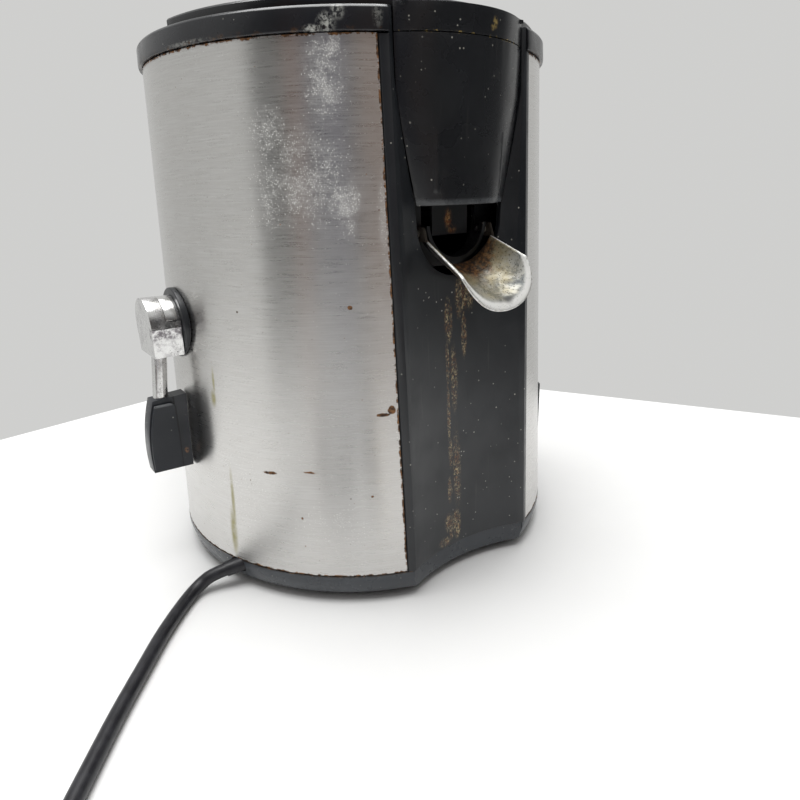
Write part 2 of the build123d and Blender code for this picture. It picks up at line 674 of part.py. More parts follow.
def lock_shaft():
    shaft = along_x(LOCK_SHAFT_R, -125.5, -LOCK_HEAD_X + 2)
    shaft += along_x(6.5, -LOCK_HEAD_X - 2.2, -LOCK_HEAD_X + 2.2)
    x_low, x_high = -LOCK_HEAD_X - 2.0, -LOCK_HEAD_X + 2.0
    arm = block((x_low, 0, LEVER_Z - 2.2), (x_high, LOCK_ARM, LEVER_Z + 2.2))
    head = Pos(-LOCK_HEAD_X, LOCK_ARM, LEVER_Z) * Rot(0, 90, 0) * Cylinder(2.2, 8.8)
    return shaft + arm + head


# ---- mains cord ---------------------------------------------------------
GLAND_END = CORD_EXIT + CORD_HEADING * 7.0

CORD_ROUTE = [
    GLAND_END,
    GLAND_END + CORD_HEADING * 8,
    Vector(-127.6, -35.0, 5.4),
    Vector(-134.5, -38.4, 3.5),
    Vector(-144.0, -48.0, 3.5),
    Vector(-156.5, -62.2, 3.5),
    Vector(-169.5, -79.6, 3.5),
    Vector(-182.5, -96.6, 3.5),
    Vector(-197.0, -117.5, 3.5),
    Vector(-213.0, -141.0, 3.5),
    Vector(-230.5, -164.0, 3.5),
    Vector(-247.7, -188.3, 3.5),
]
PLUG_CENTRE = Vector(-131.0, -262.0, 16.5)


def cord_gland():
    inside = CORD_EXIT - CORD_HEADING * 17
    gland = rod_between(inside, inside + CORD_HEADING * 3, 6.5)
    return gland + rod_between(inside, GLAND_END, 4.5, 4.0)


def bend_radii(route):
    radii = []
    for before, here, after in zip(route, route[1:], route[2:]):
        arriving, leaving = here - before, after - here
        turn = radians(arriving.get_angle(leaving))
        shorter = min(arriving.length, leaving.length)
        radii.append(0.45 * shorter / tan(turn / 2))
    return radii


def cord_tube():
    radii = bend_radii(CORD_ROUTE)
    path = FilletPolyline(*CORD_ROUTE, radius=radii)
    first = CORD_ROUTE[1] - CORD_ROUTE[0]
    section = Plane(origin=CORD_ROUTE[0], z_dir=first) * Circle(CORD_R)
    solid = sweep(section, path=path)
    ideal = pi * CORD_R ** 2 * path.length
    print("cord radii", [round(r, 1) for r in radii])
    print("cord tube length", round(path.length, 1), "volume / ideal",
          round(solid.volume / ideal, 4))
    return solid


def cord_coil():
    ring = tube(COIL_R_OUT, COIL_R_IN, 0.0, COIL_HEIGHT)
    ring = fillet(ring.edges(), 3.0)
    return Pos(COIL_CENTRE.X, COIL_CENTRE.Y, 0) * ring


def coil_tie():
    middle = (COIL_R_IN + COIL_R_OUT) / 2
    half = (COIL_R_OUT - COIL_R_IN) / 2 + 0.4
    outer = block((middle - half - 1.2, -4, 0), (middle + half + 1.2, 4, COIL_HEIGHT + 1.2))
    inner = block((middle - half - 0.1, -5, -1), (middle + half + 0.1, 5, COIL_HEIGHT + 0.1))
    place = Pos(COIL_CENTRE.X, COIL_CENTRE.Y, 0) * Rot(0, 0, 20)
    return place * (outer - inner)


def plug_profile():
    """Turned plug body with its axis along X: face, barrel, waist and cord boot."""
    return revolve(make_face(Polyline((0, 0), (16.5, 0), (16.5, 10), (14.5, 14), (14.0, 24),
                                      (11.0, 32), (7.0, 38), (5.0, 52), (0, 52),
                                      close=True)), Axis.Y)


def plug_body():
    body = Rot(0, 0, 90) * plug_profile()
    return Pos(PLUG_CENTRE.X, PLUG_CENTRE.Y, PLUG_CENTRE.Z) * body


def plug_pins():
    pin = Rot(0, 90, 0) * Cylinder(2.4, 19)
    pins = [Pos(PLUG_CENTRE.X + 9.5, PLUG_CENTRE.Y + y, PLUG_CENTRE.Z) * pin for y in (-9.5, 9.5)]
    return Compound(children=pins)


# ---- write every sub-part -----------------------------------------------
NODES = {
    "base_ring": base_ring, "bottom_cover": bottom_cover, "feet": feet,
    "steel_wrap": steel_wrap, "front_panel": front_panel,
    "rim_ring": rim_ring, "inner_deck": inner_deck, "fasteners": fasteners,
    "frame_posts": frame_posts, "rubber_mounts": rubber_mounts,
    "motor_bracket": motor_bracket, "lower_bracket": lower_bracket,
    "bearings": bearings, "stator_core": stator_core,
    "field_windings": field_windings, "brush_holders": brush_holders,
    "motor_shaft": motor_shaft, "rotor_core": rotor_core, "commutator": commutator,
    "cooling_fan": cooling_fan, "drive_coupling": drive_coupling,
    "shaft_seal": shaft_seal, "interlock_switch": interlock_switch,
    "terminal_block": terminal_block, "switch_housing": switch_housing,
    "switch_rocker": switch_rocker, "juice_bowl": juice_bowl, "bowl_front": bowl_front,
    "bowl_floor": bowl_floor, "outlet_trough": outlet_trough, "apron": apron,
    "spout": spout, "spout_pins": spout_pins, "basket_base": basket_base,
    "basket_rim": basket_rim, "basket_mesh": basket_mesh, "grater_disc": grater_disc, "lid": lid,
    "lid_gasket": lid_gasket, "feed_tube": feed_tube, "pusher": pusher,
    "pusher_cap": pusher_cap, "pulp_container": pulp_container,
    "lever_bosses": lever_bosses,
    "cord_gland": cord_gland, "cord_tube": cord_tube, "cord_coil": cord_coil,
    "coil_tie": coil_tie, "plug_body": plug_body, "plug_pins": plug_pins,
}

LEVER_NODES = {
    "collar": lever_collar, "lever_hub": lever_hub, "lever_arm": lever_arm,
    "lever_grip": lever_grip, "lock_shaft": lock_shaft,
}

os.makedirs("parts", exist_ok=True)
for name, make in NODES.items():
    export_step(make(), "parts/" + name + ".step")
for name, make in LEVER_NODES.items():
    shape = make()
    export_step(shape, "parts/left_" + name + ".step")
    export_step(mirrored(shape), "parts/right_" + name + ".step")
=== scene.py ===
import math
import bpy
import bmesh
from mathutils import Matrix, Vector


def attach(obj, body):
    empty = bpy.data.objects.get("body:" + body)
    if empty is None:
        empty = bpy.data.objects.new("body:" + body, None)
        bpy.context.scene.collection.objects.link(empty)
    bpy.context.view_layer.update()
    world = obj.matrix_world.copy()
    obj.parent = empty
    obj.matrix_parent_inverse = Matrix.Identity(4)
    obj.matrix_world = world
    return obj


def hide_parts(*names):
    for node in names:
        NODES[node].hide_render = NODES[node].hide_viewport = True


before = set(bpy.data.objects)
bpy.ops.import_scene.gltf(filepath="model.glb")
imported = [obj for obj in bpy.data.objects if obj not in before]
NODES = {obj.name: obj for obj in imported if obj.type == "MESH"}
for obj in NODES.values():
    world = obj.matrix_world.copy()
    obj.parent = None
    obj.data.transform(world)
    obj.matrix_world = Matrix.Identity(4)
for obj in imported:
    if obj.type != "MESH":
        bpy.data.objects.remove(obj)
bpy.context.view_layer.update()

# Centrifugal juicer: looks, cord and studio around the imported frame. Metres, spout along -Y.
MM = 0.001

# lower and upper edge of the steel wrap
SEAM_Z, STEEL_TOP_Z = 0.0164, 0.2613


# ---- camera ---------------------------------------------------------------
camera_data = bpy.data.cameras.new("camera")
camera_data.sensor_width = 36.0
camera_data.lens = 27.945
camera_data.clip_start = 0.01
camera = bpy.data.objects.new("camera", camera_data)
camera.matrix_world = (Matrix.Translation((-0.201296, -0.328485, 0.203768))
                       @ Matrix.Rotation(math.radians(-35.244), 4, "Z")
                       @ Matrix.Rotation(math.radians(70.898), 4, "X")
                       @ Matrix.Rotation(math.radians(-1.651), 4, "Z"))
bpy.context.scene.collection.objects.link(camera)
bpy.context.scene.camera = camera


# ---- material building ----------------------------------------------------
class Graph:
    """A small helper for procedural materials."""

    def __init__(self, name, color=(0.5, 0.5, 0.5), **values):
        self.material = bpy.data.materials.new(name)
        self.material.use_nodes = True
        self.tree = self.material.node_tree
        self.shader = self.tree.nodes["Principled BSDF"]
        self.point = self.add("ShaderNodeTexCoord").outputs["Object"]
        self.set(**{"Base Color": (*color, 1.0)})
        self.set(**values)

    def add(self, kind, inputs=(), **props):
        node = self.tree.nodes.new(kind)
        for key, value in props.items():
            setattr(node, key, value)
        for key, value in dict(inputs).items():
            self.put(node.inputs[key], value)
        return node

    def put(self, socket, value):
        if isinstance(value, bpy.types.NodeSocket):
            self.tree.links.new(value, socket)
        else:
            socket.default_value = value

    def set(self, **values):
        for key, value in values.items():
            self.put(self.shader.inputs[key.replace("_", " ")], value)

    def math(self, operation, a, b=0.0, c=0.0, clamp=False):
        node = self.add("ShaderNodeMath", {0: a, 1: b, 2: c}, operation=operation,
                        use_clamp=clamp)
        return node.outputs[0]

    def vector(self, operation, a, b=(0, 0, 0)):
        node = self.add("ShaderNodeVectorMath", {0: a, 1: b}, operation=operation)
        return node.outputs["Value" if operation in ("LENGTH", "DOT_PRODUCT") else "Vector"]

    def scaled(self, factors, source=None):
        return self.vector("MULTIPLY", source or self.point, factors)

    def noise(self, scale, detail=3.0, roughness=0.55, source=None, distortion=0.0):
        node = self.add("ShaderNodeTexNoise", {
            "Vector": source or self.point, "Scale": scale, "Detail": detail,
            "Roughness": roughness, "Distortion": distortion})
        return node.outputs["Fac"]

    def cells(self, scale, source):
        node = self.add("ShaderNodeTexVoronoi", {"Vector": source, "Scale": scale})
        return node.outputs["Distance"]

    def ramp(self, value, low, high, out_low=0.0, out_high=1.0, smooth=True):
        node = self.add("ShaderNodeMapRange", {
            "Value": value, "From Min": low, "From Max": high,
            "To Min": out_low, "To Max": out_high},
            interpolation_type="SMOOTHSTEP" if smooth else "LINEAR", clamp=True)
        return node.outputs["Result"]

    def mix(self, factor, a, b):
        node = self.add("ShaderNodeMix", data_type="RGBA")
        self.put(node.inputs[0], factor)
        for socket, value in ((node.inputs[6], a), (node.inputs[7], b)):
            if not isinstance(value, bpy.types.NodeSocket) and len(value) == 3:
                value = (*value, 1.0)
            self.put(socket, value)
        return node.outputs[2]

    def split(self, source=None):
        return self.add("ShaderNodeSeparateXYZ", {0: source or self.point}).outputs

    def join(self, x, y, z):
        return self.add("ShaderNodeCombineXYZ", {0: x, 1: y, 2: z}).outputs[0]

    def bump(self, height, strength=0.2, distance=0.0005):
        node = self.add("ShaderNodeBump", {"Height": height, "Strength": strength,
                                           "Distance": distance})
        self.set(Normal=node.outputs[0])
        return node

    def specks(self, scale, size, share):
        """Small scattered dots: cells whose own random value passes a limit."""
        node = self.add("ShaderNodeTexVoronoi", {"Vector": self.point, "Scale": scale})
        dot = self.ramp(node.outputs["Distance"], size, size * 0.55)
        pick = self.ramp(self.split(node.outputs["Color"])[0], 1 - share, 1 - share + 0.01)
        return self.math("MULTIPLY", dot, pick)

    def flecks(self, scale, size, density):
        """Dots whose share of the cells follows a density."""
        node = self.add("ShaderNodeTexVoronoi", {"Vector": self.point, "Scale": scale})
        dot = self.ramp(node.outputs["Distance"], size, size * 0.6)
        chance = self.split(node.outputs["Color"])[0]
        return self.math("MULTIPLY", dot, self.math("LESS_THAN", chance, density))

    def blob(self, flat, centre, half):
        """Soft ellipse in a flat coordinate, 1 in its middle and 0 at its edge."""
        offset = self.vector("SUBTRACT", flat, (*centre, 0.0))
        offset = self.vector("MULTIPLY", offset, (1 / half[0], 1 / half[1], 0.0))
        return self.ramp(self.vector("LENGTH", offset), 1.0, 0.15)

    def blobs(self, flat, rows):
        """The strongest of several ellipses, given as centre, half sizes and amount."""
        total = None
        for u, v, half_u, half_v, amount in rows:
            one = self.math("MULTIPLY", self.blob(flat, (u, v), (half_u, half_v)), amount)
            total = one if total is None else self.math("MAXIMUM", total, one)
        return total


def paint(names, graph):
    """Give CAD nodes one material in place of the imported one."""
    for name in names:
        data = NODES[name].data
        data.materials.clear()
        data.materials.append(graph.material)


def plastic(name, color, roughness, specks=0.0, grain=0.15, streaks=0.0):
    """Moulded plastic with fine texture, handling wear, pale specks and dried streaks."""
    g = Graph(name, color, IOR=1.5)
    cloud = g.noise(18, 5)
    tint = g.mix(g.ramp(cloud, 0.35, 0.75), color, [c * 1.35 + 0.004 for c in color])
    dust = g.ramp(g.noise(420, 4, 0.7), 0.62, 0.8, 0.0, 0.25)
    tint = g.mix(g.math("MULTIPLY", dust, g.ramp(cloud, 0.45, 0.7)), tint, (0.12, 0.12, 0.115))
    if streaks:
        long_lines = g.noise(1.0, 3, 0.6, g.scaled((420, 420, 14)))
        tint = g.mix(g.ramp(long_lines, 0.64, 0.8, 0.0, streaks), tint, (0.10, 0.097, 0.088))
    if specks:
        dots = g.math("MAXIMUM", g.specks(560, 0.26, specks), g.specks(420, 0.17, specks))
        patchy = g.ramp(g.noise(22, 3), 0.42, 0.6, 0.35, 1.0)
        tint = g.mix(g.math("MULTIPLY", dots, patchy), tint, (0.46, 0.45, 0.40))
    g.set(**{"Base Color": tint,
             "Roughness": g.ramp(g.noise(60, 4), 0.3, 0.75, roughness - 0.06, roughness + 0.1)})
    g.bump(g.noise(2600, 2, 0.6), grain, 0.00008)
    return g


CHARCOAL = (0.0135, 0.0155, 0.0185)


def arc_coordinate(g, radius=0.11):
    """Flat coordinate on the body: metres round from the back, and height."""
    x, y, z = g.split()
    around = g.math("MULTIPLY", g.math("ARCTAN2", x, y), radius)
    return g.join(around, z, 0.0), around, z, x


def on_arc(azimuth, z, radius=0.11):
    """The same coordinate for a point given by its angle from the spout towards -X."""
    a = math.radians(azimuth)
    return math.atan2(-math.sin(a), -math.cos(a)) * radius, z * MM


# limescale on the steel: azimuth, height, half width, half height in mm, amount
SCALE_MARKS = [(43, 207, 30, 26, 0.6), (36, 246, 12, 24, 0.7), (50, 226, 12, 12, 0.6),
               (34, 257, 5, 8, 1.0), (36.5, 250, 6, 9, 0.9), (35.5, 243, 5, 9, 1.0),
               (39, 240, 5, 7, 0.7), (49, 231, 7, 8, 0.55), (45, 214, 13, 11, 0.7),
               (38, 208, 13, 12, 0.85), (33.5, 198, 10, 12, 1.0), (32.5, 191, 5, 12, 0.8),
               (51, 198, 6, 17, 0.5), (55, 187, 5, 12, 0.35), (24, 100, 4, 14, 0.35),
               (24.5, 190, 3, 28, 0.5), (63, 60, 16, 26, 0.25), (40, 45, 26, 16, 0.25),
               (-80, 205, 16, 22, 0.5), (-120, 150, 14, 30, 0.35), (140, 190, 18, 20, 0.4)]
# rust: the same, with a brown tint
RUST_MARKS = [(33.1, 152.6, 1.9, 1.7, 1.0), (24.3, 103.7, 3.4, 3.6, 0.9),
              (26.5, 101.5, 6.0, 1.8, 0.75), (56, 71, 9, 1.8, 0.6), (45, 73, 9, 1.4, 0.5),
              (62, 150, 1.0, 1.0, 0.7), (30, 60, 1.2, 1.2, 0.7), (48, 48, 1.2, 1.4, 0.7),
              (-60, 120, 2.0, 2.0, 0.7), (150, 80, 2.0, 2.4, 0.6)]
# dried juice runs, greenish yellow
DRIP_MARKS = [(73.3, 105, 2.6, 6, 1.0), (72.7, 114, 1.3, 9, 0.9), (69.2, 50, 1.8, 24, 0.8),
              (69.9, 32, 3.2, 18, 1.0), (-100, 70, 1.6, 26, 0.7), (160, 40, 1.6, 20, 0.6)]


def steel_material():
    g = Graph("brushed_steel", (0.6, 0.59, 0.575), Metallic=1.0, Anisotropic=0.8,
              Anisotropic_Rotation=0.25)
    flat, around, z, x = arc_coordinate(g)
    g.set(Tangent=g.add("ShaderNodeTangent", direction_type="RADIAL", axis="Z").outputs[0])
    lines = g.noise(1.0, 4, 0.65, g.join(g.math("MULTIPLY", around, 60),
                                         g.math("MULTIPLY", z, 1500), 0.0))
    broad = g.noise(1.0, 2, 0.5, g.join(g.math("MULTIPLY", around, 14),
                                        g.math("MULTIPLY", z, 260), 0.0))
    tint = g.mix(g.ramp(lines, 0.3, 0.7), (0.555, 0.545, 0.53), (0.635, 0.63, 0.615))
    tint = g.mix(g.ramp(broad, 0.35, 0.7, 0.0, 0.25), tint, (0.56, 0.545, 0.525))
    # haze of dried spray and finger marks
    haze = g.math("MULTIPLY", g.ramp(g.noise(26, 6, 0.6), 0.5, 0.78), 0.18)
    haze = g.math("ADD", haze, g.math("MULTIPLY", g.ramp(g.noise(1100, 3, 0.8), 0.58, 0.66), 0.25))
    speck = g.noise(1500, 3, 0.8)
    patch = g.noise(120, 5, 0.75)
    marks = []
    for rows in (SCALE_MARKS, RUST_MARKS, DRIP_MARKS):
        placed = [(*on_arc(a, h), w * MM, v * MM, amount) for a, h, w, v, amount in rows]
        marks.append(g.blobs(flat, placed))
    area = g.math("MULTIPLY", marks[0], g.ramp(patch, 0.40, 0.60, 0.15, 1.0))
    dots = g.math("MAXIMUM", g.flecks(1900, 0.50, g.math("MULTIPLY", area, 0.95)),
                  g.flecks(950, 0.34, g.math("MULTIPLY", area, 0.40)))
    stray = g.flecks(900, 0.28, 0.02)
    lime = g.math("MAXIMUM", g.math("MULTIPLY", dots, 0.95), g.math("MULTIPLY", stray, 0.6))
    lime = g.math("MAXIMUM", lime, g.math("MULTIPLY", area, g.ramp(speck, 0.35, 0.65, 0.10, 0.42)))
    rust = g.ramp(g.math("ADD", marks[1], g.math("MULTIPLY", g.noise(520, 4, 0.75), 0.9)),
                  0.82, 0.98)
    rust = g.math("MULTIPLY", rust, g.ramp(marks[1], 0.0, 0.2))
    drip = g.math("MULTIPLY", marks[2], g.ramp(g.noise(260, 3), 0.25, 0.6, 0.45, 1.0))
    # rust creeping in from the seams at the bottom, the top and the front edges
    edge_noise = g.noise(230, 5, 0.75)
    low = g.ramp(z, SEAM_Z + 0.0024, SEAM_Z, 0.0, 1.0)
    high = g.ramp(z, STEEL_TOP_Z - 0.0032, STEEL_TOP_Z, 0.0, 1.0)
    front = g.ramp(g.math("ABSOLUTE", x), 0.0452, 0.0432, 0.0, 1.0)
    y = g.split()[1]
    front = g.math("MULTIPLY", front, g.ramp(y, -0.08, -0.09))
    seam = g.math("MAXIMUM", g.math("MAXIMUM", low, high), front)
    creep = g.ramp(g.math("ADD", g.math("MULTIPLY", seam, 0.62), edge_noise), 1.03, 1.12)
    pits = g.math("MAXIMUM", g.specks(260, 0.13, 0.03), g.specks(700, 0.2, 0.02))
    rust = g.math("MAXIMUM", rust, g.math("MAXIMUM", creep, g.math("MULTIPLY", pits, 0.7)))
    scratch = g.noise(1.0, 2, 0.5, g.join(g.math("MULTIPLY", around, 90),
                                          g.math("MULTIPLY", z, 2600), 0.0))
    scratch = g.math("MULTIPLY", g.ramp(scratch, 0.68, 0.72), g.ramp(g.noise(16, 2), 0.52, 0.62))
    dark_brown = g.mix(g.ramp(g.noise(500, 3), 0.35, 0.65), (0.045, 0.022, 0.012), (0.27, 0.125, 0.045))
    color = g.mix(haze, tint, (0.74, 0.74, 0.72))
    color = g.mix(g.math("MULTIPLY", scratch, 0.5), color, (0.85, 0.85, 0.84))
    color = g.mix(drip, color, (0.42, 0.39, 0.20))
    color = g.mix(lime, color, (0.86, 0.86, 0.83))
    color = g.mix(rust, color, dark_brown)
    matt = g.math("MAXIMUM", lime, g.math("MAXIMUM", rust, g.math("MULTIPLY", drip, 0.7)))
    metal = g.math("SUBTRACT", 1.0, g.math("MULTIPLY", matt, 0.92))
    rough = g.math("ADD", g.ramp(lines, 0.25, 0.75, 0.26, 0.32),
                   g.math("ADD", g.math("MULTIPLY", matt, 0.4), g.math("MULTIPLY", haze, 0.25)))
    g.set(**{"Base Color": color, "Metallic": metal, "Roughness": rough})
    height = g.math("ADD", g.math("MULTIPLY", lines, 0.6), g.math("MULTIPLY", matt, 1.2))
    g.bump(height, 0.07, 0.00006)
    return g


def panel_material():
    """Hollow front panel: satin charcoal with brown drip runs under the spout."""
    g = plastic("front_panel_plastic", CHARCOAL, 0.36, specks=0.05, streaks=0.25)
    x, y, z = g.split()
    flat = g.join(x, z, 0.0)
    rows = [(-6.5, 140, 3.5, 14, 0.9), (1.0, 150, 4, 14, 0.6), (3.5, 132, 2.5, 16, 0.6),
            (-8.0, 118, 1.6, 16, 0.8), (-8.2, 92, 1.5, 22, 1.0), (-7.8, 70, 2.0, 12, 0.5),
            (-9.0, 49, 2.2, 10, 0.7), (-3.8, 110, 3.5, 24, 0.4), (-3.5, 60, 4.0, 34, 0.35),
            (-4.5, 28, 3.6, 12, 0.8), (-8.6, 27, 2.6, 9, 0.9), (-10.0, 30, 5.0, 8, 0.5),
            (6.0, 150, 6.0, 10, 0.4), (-14.0, 20, 7.0, 4, 0.4)]
    area = g.blobs(flat, [(u * MM, v * MM, a * MM, b * MM, s) for u, v, a, b, s in rows])
    speck = g.ramp(g.noise(1.0, 4, 0.85, g.scaled((1300, 1300, 800))), 0.49, 0.55)
    runs = g.ramp(g.noise(1.0, 3, 0.6, g.scaled((800, 800, 60))), 0.42, 0.56)
    strength = g.math("MULTIPLY", speck, g.math("ADD", 0.5, g.math("MULTIPLY", runs, 0.9)))
    stain = g.math("MULTIPLY", g.ramp(area, 0.0, 0.45), strength, clamp=True)
    brown = g.mix(g.ramp(g.noise(420, 4, 0.7), 0.44, 0.58), (0.16, 0.065, 0.022),
                  (0.50, 0.40, 0.22))
    old = g.shader.inputs["Base Color"].links[0].from_socket
    color = g.mix(g.math("MULTIPLY", area, 0.14), old, (0.12, 0.112, 0.085))
    color = g.mix(stain, color, brown)
    g.set(**{"Base Color": color})
    return g


def rim_material():
    """Rim ring: satin charcoal with a limescale patch running over it."""
    g = plastic("rim_plastic", (0.014, 0.015, 0.018), 0.24, specks=0.05)
    flat, around, z, x = arc_coordinate(g)
    rows = [(35.0, 264.5, 5, 5, 1.0), (32.5, 268.5, 4, 4, 0.9), (38, 262.5, 5, 2.2, 1.0),
            (24, 267, 3, 6, 0.3), (70, 262.5, 20, 1.2, 0.4), (-110, 266, 12, 5, 0.5)]
    area = g.blobs(flat, [(*on_arc(a, h), w * MM, v * MM, s) for a, h, w, v, s in rows])
    lime = g.math("MULTIPLY", area, g.ramp(g.noise(650, 5, 0.75), 0.42, 0.6))
    old = g.shader.inputs["Base Color"].links[0].from_socket
    rust = g.math("MULTIPLY", g.ramp(z, 0.2640, 0.2616), g.ramp(g.noise(260, 4, 0.7), 0.5, 0.68))
    color = g.mix(g.math("MULTIPLY", rust, 0.8), old, (0.10, 0.05, 0.02))
    g.set(**{"Base Color": g.mix(lime, color, (0.55, 0.56, 0.52))})
    return g


def ring_material():
    """Base ring: glossier, scuffed, with a dark brown band along its top edge: painted shadow of
    the gap under the steel, with dirt in it.
    """
    g = plastic("base_ring_plastic", (0.044, 0.050, 0.058), 0.28, specks=0.03)
    z = g.split()[2]
    old = g.shader.inputs["Base Color"].links[0].from_socket
    # painted shadow with brown dirt: a dark band along the top edge, where the steel overhangs
    gap = g.ramp(g.math("ADD", z, g.math("MULTIPLY", g.noise(300, 4, 0.7), 0.0012)),
                 0.0157, 0.0164)
    dark_brown = g.mix(g.ramp(g.noise(400, 4, 0.7), 0.5, 0.7), (0.012, 0.008, 0.006),
                 (0.16, 0.085, 0.035))
    g.set(**{"Base Color": g.mix(gap, old, dark_brown)})
    return g


def cover_material():
    """Chute cover and lid: glossy dark plastic, a painted highlight along the lower lip and dried
    juice.
    """
    g = plastic("cover_plastic", (0.0125, 0.0135, 0.0155), 0.27, specks=0.05, grain=0.05,
                streaks=0.18)
    x, y, z = g.split()
    old = g.shader.inputs["Base Color"].links[0].from_socket
    # painted highlight: a paler band along the apron's lower lip
    lip = g.math("MULTIPLY", g.ramp(z, 0.1978, 0.1962), g.ramp(z, 0.1944, 0.1952))
    lip = g.math("MULTIPLY", lip, g.ramp(g.noise(140, 4), 0.3, 0.6, 0.45, 1.0))
    color = g.mix(lip, old, (0.075, 0.080, 0.085))
    flat = g.join(x, z, 0.0)
    spot = g.blobs(flat, [(0.0085, 0.2675, 0.0022, 0.0030, 1.0),
                          (0.0068, 0.2655, 0.0016, 0.0016, 0.8)])
    spot = g.math("MULTIPLY", spot, g.ramp(y, -0.095, -0.100))
    spot = g.math("MULTIPLY", spot, g.ramp(g.noise(900, 3), 0.38, 0.55))
    seam = g.ramp(g.math("ABSOLUTE", g.math("SUBTRACT", z, 0.2621)), 0.0007, 0.0003)
    crumbs = g.math("MULTIPLY", seam, g.ramp(g.noise(380, 4, 0.7), 0.56, 0.64))
    color = g.mix(g.math("MAXIMUM", spot, crumbs), color, (0.36, 0.26, 0.09))
    g.set(**{"Base Color": color})
    return g


def grip_material():
    """Lever grip: blue-black moulded plastic, with a painted highlight along its raised edge."""
    g = plastic("grip_plastic", (0.016, 0.019, 0.025), 0.40, specks=0.04, grain=0.25)
    x, y, z = g.split()
    side = g.math("ABSOLUTE", x)
    old = g.shader.inputs["Base Color"].links[0].from_socket
    # painted highlight: a pale line along the raised face's top edge; and a rust spot low on the
    # inner band
    front = g.ramp(y, -0.0056, -0.0064)
    top = g.math("MULTIPLY", g.ramp(z, 0.0973, 0.0980), g.ramp(side, 0.1192, 0.1212))
    top_edge_highlight = g.math("MULTIPLY", g.math("MULTIPLY", top, front), g.ramp(g.noise(300, 4), 0.35, 0.5))
    color = g.mix(g.math("MULTIPLY", top_edge_highlight, 0.8), old, (0.22, 0.23, 0.24))
    flat = g.join(side, z, 0.0)
    spot = g.blobs(flat, [(0.1165, 0.0700, 0.0017, 0.0024, 1.0)])
    spot = g.math("MULTIPLY", spot, g.ramp(g.noise(900, 3), 0.4, 0.52))
    color = g.mix(spot, color, (0.40, 0.19, 0.07))
    # painted light: the inner band beside the raised face is paler, more so towards its top, with
    # a dark line where they meet
    band = g.math("MULTIPLY", g.ramp(side, 0.1194, 0.1188), g.ramp(y, -0.0035, -0.0045))
    color = g.mix(g.math("MULTIPLY", band, g.ramp(z, 0.080, 0.098, 0.35, 0.8)), color,
                  (0.050, 0.053, 0.060))
    line = g.math("MULTIPLY", g.ramp(side, 0.1188, 0.1192), g.ramp(side, 0.1200, 0.1196))
    color = g.mix(g.math("MULTIPLY", line, 0.9), color, (0.003, 0.003, 0.004))
    outer = g.math("MULTIPLY", g.ramp(side, 0.1338, 0.1356), 0.35)
    g.set(**{"Base Color": g.mix(outer, color, (0.10, 0.105, 0.11))})
    return g


def chrome_material():
    """Bright plated zinc with dull patches, fine pits, specks of corrosion and a painted dark
    reflection band on the hubs.
    """
    g = Graph("worn_chrome_painted_reflection", (0.74, 0.74, 0.73), Metallic=0.92)
    pits = g.math("MAXIMUM", g.specks(1400, 0.30, 0.07), g.specks(650, 0.17, 0.05))
    fog = g.ramp(g.noise(170, 5, 0.7), 0.42, 0.66)
    color = g.mix(g.math("MULTIPLY", fog, 0.6), (0.72, 0.72, 0.71), (0.50, 0.49, 0.50))
    x, y, z = g.split()
    # painted reflection: a dark, cloudy band across the front at the hub's mid-height
    band = g.math("MULTIPLY", g.ramp(z, 0.1415, 0.1385), g.ramp(z, 0.1325, 0.1350))
    band = g.math("MULTIPLY", band, g.ramp(y, -0.0085, -0.0105))
    band = g.math("MULTIPLY", band, g.ramp(g.math("ABSOLUTE", x), 0.1395, 0.1385))
    cloud = g.ramp(g.noise(420, 5, 0.75), 0.40, 0.58)
    color = g.mix(g.math("MULTIPLY", g.math("MULTIPLY", band, cloud), 0.85), color,
                  (0.13, 0.115, 0.13))
    color = g.mix(pits, color, (0.05, 0.045, 0.045))
    g.set(**{"Base Color": color,
             "Roughness": g.ramp(fog, 0.0, 1.0, 0.16, 0.34)})
    g.bump(g.math("ADD", g.noise(520, 3), g.math("MULTIPLY", pits, -2)), 0.10, 0.0001)
    return g


